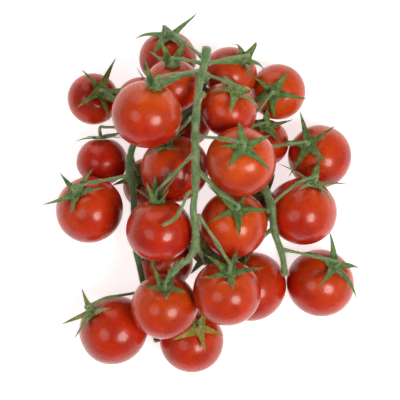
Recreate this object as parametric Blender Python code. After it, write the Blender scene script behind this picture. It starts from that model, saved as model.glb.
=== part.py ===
"""A forked truss of cherry tomatoes, lying on a surface.

Three rachises (the green stalks that carry the fruit) fork near the top end. Each fruit
hangs on its own pedicel, which ends in a calyx of five sepals on the fruit's stem end.
Lengths in the tables below are millimetres; x is across the truss, y along it, z up.
"""
import math

import bmesh
import bpy
import numpy as np
from mathutils import Matrix

MM = 0.001

# ---- driving dimensions (mm unless a ratio) ---------------------------------------------
SPREAD = 1.0              # places of fruits and rachises against the tables below
FRUIT_SIZE = 1.0          # diameters of all fruits against the table below
FRUIT_FLATNESS = 0.94     # height of a fruit from stem end to blossom end, by its diameter
DIMPLE_DEPTH = 1.6        # hollow at the stem end
DIMPLE_RADIUS = 4.2

RACHIS_DIAMETER = 3.2
RACHIS_TIP_DIAMETER = 2.7
JOINT_SWELL = 0.7         # extra diameter where a pedicel leaves a rachis
JOINT_LENGTH = 0.022      # of that swelling, by the rachis's length
CUT_END_SWELL = 0.8       # extra diameter at a cut end
CUT_END_LENGTH = 0.03     # of that swelling, by the rachis's length
FORK_LEAD = 3.4           # straight part where a rachis leaves another

PEDICEL_DIAMETER = 1.5
PEDICEL_FLARE = 0.8       # extra diameter where it leaves the rachis
FLARE_LENGTH = 0.10       # of that flare, by the pedicel's length
PEDICEL_CUP = 0.7         # extra diameter where it widens into the calyx
CUP_LENGTH = 0.12         # of that cup, by the pedicel's length
KNUCKLE_DIAMETER = 2.3    # the joint where a ripe fruit snaps off
KNUCKLE_PLACE = 0.5       # along the pedicel, from the rachis
KNUCKLE_LENGTH = 0.09     # of that joint, by the pedicel's length
PEDICEL_LEAD = 1.2        # straight part where it leaves the rachis
CALYX_LEAD = 3.5          # straight part where it meets the calyx
BARE_PEDICEL_DIAMETER = 1.4

HUB_DIAMETER = 4.4        # middle of the calyx
SEPAL_START = 2.0         # of a sepal's centre-line, from the middle of the hub
HUB_FACE_ANGLE = 52       # of each sepal's foot around the hub, in degrees
HUB_FOOT = 0.25           # how far the hub's middle dips below its rim
HUB_NECK = 0.8            # from the hub's top to the pedicel's first ring
SEPALS = 5
SEPAL_LENGTH = 12.0
SEPAL_LENGTH_SPREAD = 0.16  # longest and shortest sepal against that length
SEPAL_TURN_SPREAD = 6     # unevenness of the sepals' spacing, in degrees
SEPAL_SLOPE_SPREAD = 14   # unevenness of their tips' slope, in degrees
SEPAL_WIDTH = 3.8
SEPAL_THICKNESS = 0.7
SEPAL_TIP_THINNING = 0.35  # share of the thickness lost towards the tip

GAP = 0.35                # between touching pieces
END_RISE = 0.2            # height of the low cone that closes a tube

# ---- mesh fineness ----------------------------------------------------------------------
FRUIT_SIDES = 12
FRUIT_RINGS = 7
RACHIS_SIDES = 8
RACHIS_STEP = 3.6
PEDICEL_RINGS = 8
SEPAL_SECTIONS = 3
FINE_COUNT = 200          # points on a line that distances are measured from
CURVE_STEPS = 16          # points per stretch while a curve is worked out
BLADE_COUNT = 12          # points on a sepal that later sepals keep clear of
BLADE_FOOT = 3            # of those, the first ones, which share the hub
STALK_COUNT = 30          # points on a pedicel that sepals keep clear of
STALK_FREE = 24           # of those, the ones before the calyx

# ---- how pieces are pushed clear of each other --------------------------------------------
SETTLE_ROUNDS = 400
SETTLE_PULL = 0.02        # share of the way back to its own place, each round
ROUTE_ROUNDS = 60
ROUTE_SMOOTHING = 0.2     # share taken from each neighbour, each round
KNUCKLE_FOLLOW = 0.7      # share of its fruit's shift that a knuckle takes
SEPAL_REACH = 8           # skins farther than this from a sepal are left out
SEPAL_GIRTH = 0.42        # of a sepal about its centre-line, by its width
SEPAL_SPARE = 0.1         # added to that girth
SEPAL_SHRINKS = (1.0, 0.85, 0.7, 0.55, 0.4)   # lengths tried, by its own
# shift around the hub, lift at the hub and lift at the tip tried, in degrees
SEPAL_TRIES = [(0, 0, 0), (0, 8, 0), (0, 16, 10), (0, 8, 25), (6, 0, 0), (-6, 0, 0), (0, 24, 40),
               (6, 12, 20), (-6, 12, 20), (0, 32, 60), (10, 20, 40), (-10, 20, 40), (0, 40, 80)]

# ---- rachises: centre-lines, from the fork outwards --------------------------------------
# The left one forks from the main one and the right one from the left one.
MAIN_RACHIS = [
    (3, 69, 46), (2, 62, 49), (0, 54, 54), (-1, 45, 58), (-2, 35, 61), (-2, 22, 62),
    (-2, 6, 62), (-3, -4, 62), (-2, -12, 61), (-2, -20, 59), (-5, -26, 56), (-9, -29, 54),
    (-13, -33, 51),
]
LEFT_RACHIS = [
    (3, 57, 43), (2, 55, 35), (0, 50, 29), (-6, 43, 30), (-14, 36, 32),
    (-23, 32, 32), (-31, 26, 32), (-33, 14, 33), (-31, 2, 33), (-31, -10, 31),
    (-30, -24, 27), (-27, -41, 20), (-24, -55, 14), (-21, -69, 9),
]
RIGHT_RACHIS = [
    (9, 42, 24), (16, 36, 22), (24, 32, 25), (29, 27, 31), (28, 19, 36),
    (28, 10, 41), (31, 2, 43), (33, -5, 43), (34, -14, 41), (38, -25, 36), (40, -35, 29),
]
# name: centre-line, rachis that it forks from, place of the fork along that one (0 to 1)
RACHISES = {
    "main": (MAIN_RACHIS, None, 0),
    "left": (LEFT_RACHIS, "main", 0.11),
    "right": (RIGHT_RACHIS, "left", 0.13),
}

# ---- fruits --------------------------------------------------------------------------------
# rachis, place along it (0 to 1), centre, diameter, heading and lift of the stem end
# (degrees), knuckle of its pedicel, and of its calyx: turn (degrees), sepals' rise at the
# hub and slope at the tip (degrees above the plane across the stem end)
FRUITS = [
    ("main", 0.03, (-16, 68, 13), 28, 90, 43, (-5, 74, 38), 165, 10, -45),
    ("main", 0.06, (14, 57, 24), 26, 40, 48, (17, 67, 40), 220, 60, -60),
    ("main", 0.08, (-13, 52, 41), 26, 90, 39, (-9, 66, 52), 115, 45, 30),
    ("main", 0.13, (-23, 38, 62), 31, 72, 34, (-16, 55, 67), 340, 45, 45),
    ("main", 0.13, (13, 41, 45), 26, 68, 48, (11, 56, 54), 255, 5, -60),
    ("main", 0.33, (-12, 13, 40), 32, 113, 37, (-16, 28, 60), 70, 15, 15),
    ("main", 0.40, (18, 17, 60), 31, 85, 67, (16, 25, 75), 15, 5, -60),
    ("main", 0.48, (-18, -12, 50), 30, 93, 18, (-16, 9, 62), 165, 45, 45),
    ("main", 0.55, (15, -11, 45), 31, 81, 62, (6, 1, 63), 130, 5, 0),
    ("main", 0.72, (12, -42, 45), 31, 86, 46, (13, -26, 59), 205, 15, 15),
    ("main", 0.83, (5, -21, 21), 25, 245, 53, (-1, -25, 42), 30, 20, -10),
    ("main", 1.00, (-16, -49, 37), 31, 86, 48, (-14, -36, 51), 195, 30, 30),
    ("left", 0.17, (-7, 38, 12), 24, 60, 70, (-3, 43, 26), 0, 20, -20),
    ("left", 0.26, (-28, 47, 20), 25, 300, 60, (-20, 40, 34), 0, 20, -20),
    ("left", 0.30, (-51, 49, 14), 25, 29, 62, (-43, 43, 36), 165, 5, 0),
    ("left", 0.33, (-47, 18, 13), 25, 93, 6, (-45, 38, 24), 40, 5, -15),
    ("left", 0.45, (-25, 8, 13), 27, 150, 60, (-32, 10, 27), 0, 20, -25),
    ("left", 0.48, (-52, -4, 28), 32, 121, 51, (-50, 11, 44), 35, 5, 15),
    ("left", 0.70, (-20, -32, 13), 27, 140, 60, (-28, -27, 26), 30, 20, -25),
    ("left", 0.83, (-40, -62, 16), 34, 137, 30, (-46, -48, 30), 85, 5, 0),
    ("left", 0.92, (-4, -68, 15), 31, 65, 55, (-6, -58, 32), 70, 5, -15),
    ("right", 0.25, (36, 53, 13), 27, 207, 73, (34, 42, 33), 350, 0, -45),
    ("right", 0.28, (32, 28, 12), 24, 87, 48, (30, 39, 26), 5, 5, 0),
    ("right", 0.40, (57, 21, 15), 31, 143, 55, (43, 28, 34), 200, 5, 0),
    ("right", 0.66, (48, -5, 30), 33, 70, 25, (48, 9, 44), 230, 5, -30),
    ("right", 0.60, (25, -2, 12), 24, 37, 60, (31, 2, 30), 0, 20, -25),
    ("right", 0.88, (57, -40, 16), 33, 58, 48, (50, -23, 36), 240, 5, -45),
    ("right", 0.78, (25, -41, 17), 34, 125, 38, (27, -24, 32), 0, 20, -15),
]
BARE_PEDICEL = ("main", 0.62, (-10, -7, 67), (-16, -11, 68))   # its fruit has dropped off

# ---- materials: colour (linear), roughness ---------------------------------------------
SKIN_RED = ((0.50, 0.022, 0.010, 1.0), 0.25)
CALYX_GREEN = ((0.11, 0.25, 0.07, 1.0), 0.60)
STALK_GREEN = ((0.17, 0.31, 0.12, 1.0), 0.65)


def clear_scene():
    for thing in list(bpy.data.objects):
        bpy.data.objects.remove(thing, do_unlink=True)


def make_material(name, finish):
    colour, roughness = finish
    material = bpy.data.materials.new(name)
    material.use_nodes = True
    shader = material.node_tree.nodes["Principled BSDF"]
    shader.inputs["Base Color"].default_value = colour
    shader.inputs["Roughness"].default_value = roughness
    shader.inputs["Metallic"].default_value = 0.0
    material.diffuse_color = colour
    return material


def make_object(name, vertices, faces, material):
    """Turn vertices in mm and faces into one closed, smooth-shaded object."""
    mesh = bpy.data.meshes.new(name)
    mesh.from_pydata([tuple(MM * c for c in vertex) for vertex in vertices], [], faces)
    work = bmesh.new()
    work.from_mesh(mesh)
    bmesh.ops.recalc_face_normals(work, faces=work.faces)
    bmesh.ops.triangulate(work, faces=work.faces)
    work.to_mesh(mesh)
    work.free()
    mesh.shade_smooth()
    mesh.materials.append(material)
    thing = bpy.data.objects.new(name, mesh)
    bpy.context.scene.collection.objects.link(thing)
    return thing


# ---- lines and tubes -----------------------------------------------------------------------
def unit(vector):
    return vector / np.linalg.norm(vector)


def heading_vector(heading, lift):
    heading, lift = math.radians(heading), math.radians(lift)
    return np.array([math.cos(lift) * math.cos(heading),
                     math.cos(lift) * math.sin(heading), math.sin(lift)])


def smooth_line(points, count):
    """Read count evenly spaced points from a Catmull-Rom curve through the given points."""
    points = np.array(points, float)
    padded = np.vstack([2 * points[0] - points[1], points, 2 * points[-1] - points[-2]])
    fine = []
    for a, b, c, d in zip(padded, padded[1:], padded[2:], padded[3:]):
        for t in np.linspace(0, 1, CURVE_STEPS, endpoint=False):
            fine.append(0.5 * (2 * b + (c - a) * t + (2 * a - 5 * b + 4 * c - d) * t ** 2
                               + (3 * b - a - 3 * c + d) * t ** 3))
    fine.append(points[-1])
    return resample(np.array(fine), count)


def resample(line, count):
    steps = np.linalg.norm(np.diff(line, axis=0), axis=1)
    distance = np.concatenate([[0], np.cumsum(steps)])
    places = np.linspace(0, distance[-1], count)
    return np.stack([np.interp(places, distance, line[:, axis]) for axis in range(3)], axis=1)


def line_length(line):
    return float(np.linalg.norm(np.diff(line, axis=0), axis=1).sum())


def rings_along(line, radii, sides, first_side=None, last_tangent=None):
    """Rings of vertices around a line, turned as little as possible from one to the next."""
    tangents = np.gradient(line, axis=0)
    if last_tangent is not None:
        tangents[-1] = last_tangent
    side = first_side
    if side is None:
        spare = np.array([0, 0, 1.0]) if abs(unit(tangents[0])[2]) < 0.8 else np.array([1.0, 0, 0])
        side = np.cross(tangents[0], spare)
    rings = []
    for centre, tangent, radius in zip(line, tangents, radii):
        tangent = unit(tangent)
        side = unit(side - tangent * side.dot(tangent))
        other = np.cross(tangent, side)
        turns = [2 * math.pi * k / sides for k in range(sides)]
        rings.append([centre + radius * (side * math.cos(t) + other * math.sin(t)) for t in turns])
    return rings


def bridge(first, second):
    """Quads between two rings of vertex numbers."""
    count = len(first)
    return [(first[k], first[(k + 1) % count], second[(k + 1) % count], second[k])
            for k in range(count)]


def fan(ring, pole):
    count = len(ring)
    return [(ring[k], ring[(k + 1) % count], pole) for k in range(count)]


def tube(line, radii, sides):
    """A closed tube with a low cone on each end."""
    rings = rings_along(line, radii, sides)
    vertices = [vertex for ring in rings for vertex in ring]
    numbers = [list(range(k * sides, (k + 1) * sides)) for k in range(len(rings))]
    faces = [face for a, b in zip(numbers, numbers[1:]) for face in bridge(a, b)]
    for ring, inner, outer in ((numbers[0], line[1], line[0]), (numbers[-1], line[-2], line[-1])):
        vertices.append(outer + unit(outer - inner) * END_RISE)
        faces += fan(ring, len(vertices) - 1)
    return vertices, faces


# ---- fruits: shape and place ----------------------------------------------------------------
def fruit_profile(radius):
    """Outline of a fruit from stem end to blossom end as (distance from axis, height)."""
    outline = []
    for k in range(FRUIT_RINGS + 2):
        angle = math.pi * k / (FRUIT_RINGS + 1)
        across = radius * math.sin(angle)
        height = FRUIT_FLATNESS * radius * math.cos(angle)
        if angle < math.pi / 2:
            height -= dimple(across)
        outline.append((across, height))
    return outline


def dimple(across):
    return DIMPLE_DEPTH * math.exp(-(across / DIMPLE_RADIUS) ** 2)


def stem_end_height(radius, across):
    """Height of the fruit's skin above its middle, at a distance from its axis."""
    inside = max(0.0, 1 - (across / radius) ** 2)
    return FRUIT_FLATNESS * radius * math.sqrt(inside) - dimple(across)


def reach(radius, axis, direction):
    """How far a fruit of this axis reaches in a direction."""
    along = axis.dot(direction)
    return radius * math.sqrt(1 - along ** 2 + (FRUIT_FLATNESS * along) ** 2)


def settle(centres, radii, axes, lines):
    """Push fruits apart, off the rachises and up onto the surface, as little as needed."""
    home = centres.copy()
    centres = centres.copy()
    obstacles = np.vstack(lines)
    girth = RACHIS_DIAMETER / 2 + JOINT_SWELL / 2 + GAP
    down = np.array([0, 0, -1.0])
    for _ in range(SETTLE_ROUNDS):
        centres += (home - centres) * SETTLE_PULL
        for a in range(len(centres)):
            for b in range(a + 1, len(centres)):
                between = centres[b] - centres[a]
                distance = np.linalg.norm(between)
                if distance > radii[a] + radii[b] + GAP:
                    continue
                between /= distance
                need = reach(radii[a], axes[a], between) + reach(radii[b], axes[b], between)
                push = max(0.0, need + GAP - distance) / 2
                centres[a] -= between * push
                centres[b] += between * push
            away = centres[a] - obstacles
            distances = np.linalg.norm(away, axis=1)
            near = int(distances.argmin())
            need = radii[a] + girth - distances[near]
            if need > 0:
                centres[a] += away[near] / distances[near] * need
            centres[a][2] = max(centres[a][2], reach(radii[a], axes[a], down))
    return centres


# ---- pedicels ----------------------------------------------------------------------------------
def rachis_radius(name, place, joints):
    """Tapering to the tip, swollen at each joint and at the cut end."""
    radius = (RACHIS_DIAMETER + (RACHIS_TIP_DIAMETER - RACHIS_DIAMETER) * place) / 2
    bump = max(math.exp(-((place - joint) / JOINT_LENGTH) ** 2) for joint in joints)
    from_end = place if name == "main" else 1 - place
    end = math.exp(-(from_end / CUT_END_LENGTH) ** 2)
    return radius + JOINT_SWELL / 2 * bump + CUT_END_SWELL / 2 * end


def leave_rachis(name, line, place, toward_point, joints):
    """Where a stalk starts, just off the rachis, and the direction that it leaves in."""
    fine = resample(line, FINE_COUNT)
    last = FINE_COUNT - 1
    number = round(place * last)
    root = fine[number]
    if number == last:
        out = unit(fine[last] - fine[last - 1])
        return root + out * (2 * END_RISE + GAP), out
    along = unit(fine[number + 1] - fine[max(number - 1, 0)])
    toward = unit(toward_point - root)
    out = unit(toward - along * toward.dot(along))
    off = rachis_radius(name, place, joints) / math.cos(math.pi / RACHIS_SIDES)
    return root + out * (off + GAP + END_RISE), out


def clear_of_fruits(point, margin, centres, radii):
    """Move a point straight out of any fruit that it is in or too near to."""
    for centre, radius in zip(centres, radii):
        away = point - centre
        distance = np.linalg.norm(away)
        if distance < radius + margin:
            point = centre + away / distance * (radius + margin)
    return point


def route_pedicels(ends, leaving, knuckles, axes, centres, radii, lines):
    """Curves from rachis to calyx, pushed clear of fruits, rachises and each other."""
    count = PEDICEL_RINGS + 1
    routes = []
    for (start, hub), out, knuckle, axis in zip(ends, leaving, knuckles, axes):
        points = [start, start + out * PEDICEL_LEAD, knuckle, hub + axis * CALYX_LEAD, hub]
        routes.append(smooth_line(points, count))
    routes = np.array(routes)
    margin = KNUCKLE_DIAMETER / 2 + GAP
    girth = RACHIS_DIAMETER / 2 + JOINT_SWELL / 2
    obstacles = np.vstack(lines)
    for _ in range(ROUTE_ROUNDS):
        for number, route in enumerate(routes):
            for k in range(2, count - 2):
                point = clear_of_fruits(route[k], margin, centres, radii)
                away = point - obstacles
                distances = np.linalg.norm(away, axis=1)
                near = int(distances.argmin())
                if distances[near] < girth + margin and k > 2:
                    point = obstacles[near] + away[near] / distances[near] * (girth + margin)
                route[k] = point
            others = np.delete(routes, number, axis=0)[:, 1:-1].reshape(-1, 3)
            for k in range(1, count - 2):
                away = route[k] - others
                distances = np.linalg.norm(away, axis=1)
                near = int(distances.argmin())
                need = 2 * margin - distances[near]
                if need > 0:
                    route[k] += away[near] / distances[near] * need / 2
            smoothed = route.copy()
            beside = route[:-3] + route[2:-1]
            smoothed[1:-2] = route[1:-2] * (1 - 2 * ROUTE_SMOOTHING) + beside * ROUTE_SMOOTHING
            routes[number] = smoothed
    return routes


def pedicel_radii(count):
    """Flared at the rachis, swollen at the knuckle, widening into the calyx."""
    radii = []
    for place in np.linspace(0, 1, count):
        flare = PEDICEL_FLARE / 2 * math.exp(-(place / FLARE_LENGTH) ** 2)
        knuckle = (KNUCKLE_DIAMETER - PEDICEL_DIAMETER) / 2
        swell = knuckle * math.exp(-((place - KNUCKLE_PLACE) / KNUCKLE_LENGTH) ** 2)
        cup = PEDICEL_CUP / 2 * math.exp(-((1 - place) / CUP_LENGTH) ** 2)
        radii.append(PEDICEL_DIAMETER / 2 + flare + swell + cup)
    return radii


# ---- calyx -------------------------------------------------------------------------------------
def sepal_line(length, rise, slope, base):
    """Centre-line of a sepal as (distance from axis, height), from rise to slope."""
    across, height = base
    line = [base]
    step = length / (SEPAL_SECTIONS + 1)
    for k in range(SEPAL_SECTIONS + 1):
        share = (k + 0.5) / (SEPAL_SECTIONS + 1)
        angle = math.radians(rise + (slope - rise) * share)
        across += step * math.cos(angle)
        height += step * math.sin(angle)
        line.append((across, height))
    return line


def sepal_points(frame, around, line):
    origin, side, other, axis = frame
    out = side * math.cos(around) + other * math.sin(around)
    return np.array([origin + out * across + axis * height for across, height in line])


def room_at(points, widths, centres, radii, axes, owner, obstacles):
    """Smallest distance from a sepal to the skins, stalks and sepals about it."""
    room = math.inf
    half = SEPAL_THICKNESS / 2
    finer = resample(points, 9)[1:]
    reach_out = np.interp(np.linspace(0, 1, 9)[1:], np.linspace(0, 1, len(widths)), widths)
    for number, (centre, radius, axis) in enumerate(zip(centres, radii, axes)):
        away = finer - centre
        if np.linalg.norm(away, axis=1).min() > radius + SEPAL_REACH:
            continue
        along = away @ axis
        across = np.sqrt(np.maximum(0, (away ** 2).sum(axis=1) - along ** 2))
        if number == owner:
            for a, h, w in zip(across, along, reach_out):
                edge = math.hypot(a, w / 2)
                if h > 0 and a < radius:
                    room = min(room, h - stem_end_height(radius, min(edge, radius)) - half)
        else:
            ratio = np.sqrt((across / radius) ** 2 + (along / (FRUIT_FLATNESS * radius)) ** 2)
            skin = (ratio - 1) * FRUIT_FLATNESS * radius
            room = min(room, float((skin - half).min()))
    for points_near, girths in obstacles:
        gaps = np.linalg.norm(finer[:, None] - points_near[None], axis=2) - girths[None]
        gaps = gaps - SEPAL_GIRTH * reach_out[:, None] - SEPAL_SPARE
        room = min(room, float(gaps.min()))
    return room


def place_sepals(frame, base, fruit, turn, rise, slope, centres, radii, axes, obstacles):
    """Lay a calyx's sepals where they are clear of everything placed so far."""
    sepals = []
    for number in range(SEPALS):
        wander = math.sin(2.4 * number + 1.7 * fruit)
        length = SEPAL_LENGTH * (1 + SEPAL_LENGTH_SPREAD * wander)
        middle = turn + 360 / SEPALS * number
        best = None
        for shrink in SEPAL_SHRINKS:
            for shift, lift, curl in SEPAL_TRIES:
                around = math.radians(middle + shift + SEPAL_TURN_SPREAD * wander)
                line = sepal_line(length * shrink, rise + lift,
                                  slope + curl + SEPAL_SLOPE_SPREAD * wander, base)
                points = sepal_points(frame, around, line)
                widths = [sepal_width(share) for share in np.linspace(0, 1, len(points))]
                room = room_at(points, widths, centres, radii, axes, fruit, obstacles)
                if best is None or room > best[0]:
                    best = (room, around, points, math.radians(middle))
                if room > GAP:
                    break
            if best[0] > GAP:
                break
        sepals.append(best[1:])
        tips = resample(best[2], BLADE_COUNT)[BLADE_FOOT:]
        places = np.linspace(0, 1, BLADE_COUNT)[BLADE_FOOT:]
        wide = np.interp(places, np.linspace(0, 1, len(widths)), widths)
        obstacles.append((tips, wide * SEPAL_GIRTH + SEPAL_SPARE))
    return sepals


def sepal_width(share):
    """Width of a sepal along its length: widest a quarter of the way out, pointed."""
    return SEPAL_WIDTH * (0.66 + 1.5 * share) * (1 - share) ** 0.8 * (1.12 - 0.5 * share)


def calyx_mesh(frame, base_height, pedicel, leaving, sepals):
    """Hub, sepals and pedicel as one closed skin."""
    origin, side, other, axis = frame
    radius = HUB_DIAMETER / 2
    top_height = base_height + SEPAL_THICKNESS
    half_face = math.radians(HUB_FACE_ANGLE / 2)
    vertices = [origin + axis * (base_height - HUB_FOOT)]
    low, high = [], []
    for _, _, middle in sepals:
        for angle in (middle - half_face, middle + half_face):
            out = side * math.cos(angle) + other * math.sin(angle)
            low.append(len(vertices))
            vertices.append(origin + out * radius + axis * base_height)
            high.append(len(vertices))
            vertices.append(origin + out * radius + axis * top_height)
    faces = fan(low, 0)
    count = len(low)
    for k in range(1, count, 2):
        after = (k + 1) % count
        faces.append((low[k], low[after], high[after], high[k]))
    for number, (around, points, _) in enumerate(sepals):
        a, b = 2 * number, 2 * number + 1
        section = [high[a], high[b], low[b], low[a]]
        across = -side * math.sin(around) + other * math.cos(around)
        last = len(points) - 1
        for k in range(1, last):
            share = k / last
            tangent = unit(points[k + 1] - points[k - 1])
            up = unit(np.cross(tangent, across))
            half_width = sepal_width(share) / 2
            half_thick = SEPAL_THICKNESS / 2 * (1 - SEPAL_TIP_THINNING * share)
            first = len(vertices)
            vertices += [points[k] - across * half_width + up * half_thick,
                         points[k] + across * half_width + up * half_thick,
                         points[k] + across * half_width - up * half_thick,
                         points[k] - across * half_width - up * half_thick]
            fresh = list(range(first, first + 4))
            faces += bridge(section, fresh)
            section = fresh
        vertices.append(points[last])
        faces += fan(section, len(vertices) - 1)
    line = pedicel[::-1]
    radii = pedicel_radii(len(line))[::-1]
    middle = sepals[0][2] + math.pi / SEPALS
    toward = side * math.cos(middle) + other * math.sin(middle)
    rings = rings_along(line, radii, SEPALS, toward, -leaving)
    numbers = []
    for ring in rings:
        numbers.append(list(range(len(vertices), len(vertices) + SEPALS)))
        vertices += ring
    neck = numbers[0]
    for k in range(SEPALS):
        right, left = high[2 * k + 1], high[(2 * k + 2) % count]
        faces.append((right, left, neck[k]))
        faces.append((high[2 * k], right, neck[k], neck[k - 1]))
    for first, second in zip(numbers, numbers[1:]):
        faces += bridge(first, second)
    vertices.append(line[-1] - leaving * END_RISE)
    faces += fan(numbers[-1], len(vertices) - 1)
    return vertices, faces


# ---- putting it together ---------------------------------------------------------------------
def main():
    clear_scene()
    skin = make_material("tomato_skin", SKIN_RED)
    calyx_green = make_material("calyx_green", CALYX_GREEN)
    stalk_green = make_material("stalk_green", STALK_GREEN)

    lines = {}
    joints = {name: [row[1] for row in FRUITS if row[0] == name] for name in RACHISES}
    for name, (points, parent, place) in RACHISES.items():
        points = np.array(points, float) * SPREAD
        if parent:
            start, out = leave_rachis(parent, lines[parent], place, points[0], joints[parent])
            points = np.vstack([start, start + out * FORK_LEAD, points])
        rough = smooth_line(points, FINE_COUNT)
        lines[name] = resample(rough, round(line_length(rough) / RACHIS_STEP))
    fine = [resample(line, FINE_COUNT) for line in lines.values()]

    centres = np.array([row[2] for row in FRUITS], float) * SPREAD
    radii = np.array([row[3] for row in FRUITS], float) * FRUIT_SIZE / 2
    axes = np.array([heading_vector(row[4], row[5]) for row in FRUITS])
    chosen = centres
    centres = settle(centres, radii, axes, fine)

    ends, leaving, knuckles, bases = [], [], [], []
    for row, centre, old, radius, axis in zip(FRUITS, centres, chosen, radii, axes):
        rachis, place, knuckle = row[0], row[1], row[6]
        base_height = stem_end_height(radius, HUB_DIAMETER / 2) + GAP
        bases.append(base_height)
        hub = centre + axis * (base_height + SEPAL_THICKNESS + HUB_NECK)
        knuckle = np.array(knuckle, float) * SPREAD + (centre - old) * KNUCKLE_FOLLOW
        start, out = leave_rachis(rachis, lines[rachis], place, knuckle, joints[rachis])
        ends.append((start, hub))
        leaving.append(out)
        knuckles.append(knuckle)
    routes = route_pedicels(ends, leaving, knuckles, axes, centres, radii, fine)

    rachis_girth = np.full(FINE_COUNT, RACHIS_DIAMETER / 2 + JOINT_SWELL / 2)
    obstacles = [(line, rachis_girth) for line in fine]
    pedicel_girth = np.full(STALK_FREE, KNUCKLE_DIAMETER / 2)
    for route in routes:
        obstacles.append((resample(route, STALK_COUNT)[:STALK_FREE], pedicel_girth))

    for number, row in enumerate(FRUITS):
        axis = axes[number]
        side = unit(np.cross(axis, [0.13, -0.29, 0.95]))
        frame = (centres[number], side, np.cross(axis, side), axis)
        base = (SEPAL_START, bases[number] + SEPAL_THICKNESS / 2)
        sepals = place_sepals(frame, base, number, row[7], row[8], row[9], centres, radii, axes,
                              obstacles)
        vertices, faces = calyx_mesh(frame, bases[number], routes[number], leaving[number], sepals)
        make_object(f"calyx_{number + 1:02d}", vertices, faces, calyx_green)

        outline = fruit_profile(radii[number])
        vertices = [centres[number] + axis * outline[0][1], centres[number] + axis * outline[-1][1]]
        rings = []
        for across, height in outline[1:-1]:
            rings.append(list(range(len(vertices), len(vertices) + FRUIT_SIDES)))
            for k in range(FRUIT_SIDES):
                turn = 2 * math.pi * k / FRUIT_SIDES
                out = frame[1] * math.cos(turn) + frame[2] * math.sin(turn)
                vertices.append(centres[number] + out * across + axis * height)
        faces = fan(rings[0], 0) + fan(rings[-1], 1)
        for first, second in zip(rings, rings[1:]):
            faces += bridge(first, second)
        make_object(f"tomato_{number + 1:02d}", vertices, faces, skin)

    for name, line in lines.items():
        places = np.linspace(0, 1, len(line))
        girths = [rachis_radius(name, place, joints[name]) for place in places]
        vertices, faces = tube(line, girths, RACHIS_SIDES)
        make_object(f"{name}_rachis", vertices, faces, stalk_green)

    rachis, place, knuckle, tip = BARE_PEDICEL
    knuckle = np.array(knuckle) * SPREAD
    start, out = leave_rachis(rachis, lines[rachis], place, knuckle, joints[rachis])
    line = smooth_line([start, start + out * PEDICEL_LEAD, knuckle, np.array(tip) * SPREAD],
                       PEDICEL_RINGS)
    vertices, faces = tube(line, [BARE_PEDICEL_DIAMETER / 2] * len(line), SEPALS)
    make_object("bare_pedicel", vertices, faces, stalk_green)
    stand_on_origin()


def stand_on_origin():
    """Put the middle of the object's box over the origin and its lowest point at z = 0."""
    pieces = [thing.data for thing in bpy.context.scene.objects]
    corners = np.array([vertex.co for mesh in pieces for vertex in mesh.vertices])
    low, high = corners.min(axis=0), corners.max(axis=0)
    shift = Matrix.Translation((-(low[0] + high[0]) / 2, -(low[1] + high[1]) / 2, -low[2]))
    for mesh in pieces:
        mesh.transform(shift)


main()
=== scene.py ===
"""Looks of a forked truss of ripe cherry tomatoes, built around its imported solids.

Every fruit, calyx and stalk is rebuilt finely on the line and size of its solid. Lengths are
metres; a name that ends in _mm or _MM is millimetres.
"""
import math

import bmesh
import bpy
import numpy as np
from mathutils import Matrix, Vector


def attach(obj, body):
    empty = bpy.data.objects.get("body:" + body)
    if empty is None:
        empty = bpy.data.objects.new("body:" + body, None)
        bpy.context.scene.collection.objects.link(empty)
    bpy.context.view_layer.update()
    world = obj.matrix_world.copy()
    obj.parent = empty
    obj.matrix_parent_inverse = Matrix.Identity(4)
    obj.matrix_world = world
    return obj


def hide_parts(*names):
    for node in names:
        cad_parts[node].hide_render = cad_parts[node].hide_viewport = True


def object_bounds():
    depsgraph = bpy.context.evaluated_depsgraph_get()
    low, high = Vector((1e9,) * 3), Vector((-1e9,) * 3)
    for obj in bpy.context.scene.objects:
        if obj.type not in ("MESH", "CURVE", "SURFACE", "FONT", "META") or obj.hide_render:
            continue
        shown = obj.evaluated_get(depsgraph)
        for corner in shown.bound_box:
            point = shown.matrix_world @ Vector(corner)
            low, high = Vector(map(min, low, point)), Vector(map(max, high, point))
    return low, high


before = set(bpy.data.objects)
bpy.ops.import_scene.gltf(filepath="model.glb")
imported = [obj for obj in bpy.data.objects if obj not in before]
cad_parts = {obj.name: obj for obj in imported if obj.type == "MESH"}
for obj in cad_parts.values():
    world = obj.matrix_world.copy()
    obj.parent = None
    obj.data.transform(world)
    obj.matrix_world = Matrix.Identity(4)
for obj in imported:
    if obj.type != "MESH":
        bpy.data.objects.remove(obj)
cad_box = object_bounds()

MM = 0.001
PER_CM2 = 1e4
FULL_TURN = 2 * math.pi
SEED = 11
ASKEW = (0.31, 0.17, 0.93)     # a direction that no fruit's axis lies along

# Sides of the rings that the solids are made of, and the spokes under a calyx.
RACHIS_SOLID_SIDES = 8
PEDICEL_SOLID_SIDES = 5
SEPAL_SOLID_SIDES = 4
CALYX_SPOKES = 10
SEPAL_SECTIONS = 4

# ---- fruits -----------------------------------------------------------------------------
FRUITS = 28
FRUIT_SIDES = 72
FRUIT_RINGS = 44
DIMPLE_RADIUS = 4.2 * MM       # of the hollow at the stem end
LOBE_SHARE = 0.012             # height of the shoulder's lobes, by radius
LEAN_SHARE = 0.012             # most that one side bulges, by radius
SCAR_DEPTH = 0.25 * MM         # of the blossom end
SCAR_RADIUS = 0.9 * MM
FRUIT_GIRTH_MM = 94.5          # what the UV map's width and height stand for on a usual fruit
FRUIT_MERIDIAN_MM = 44.0

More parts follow.
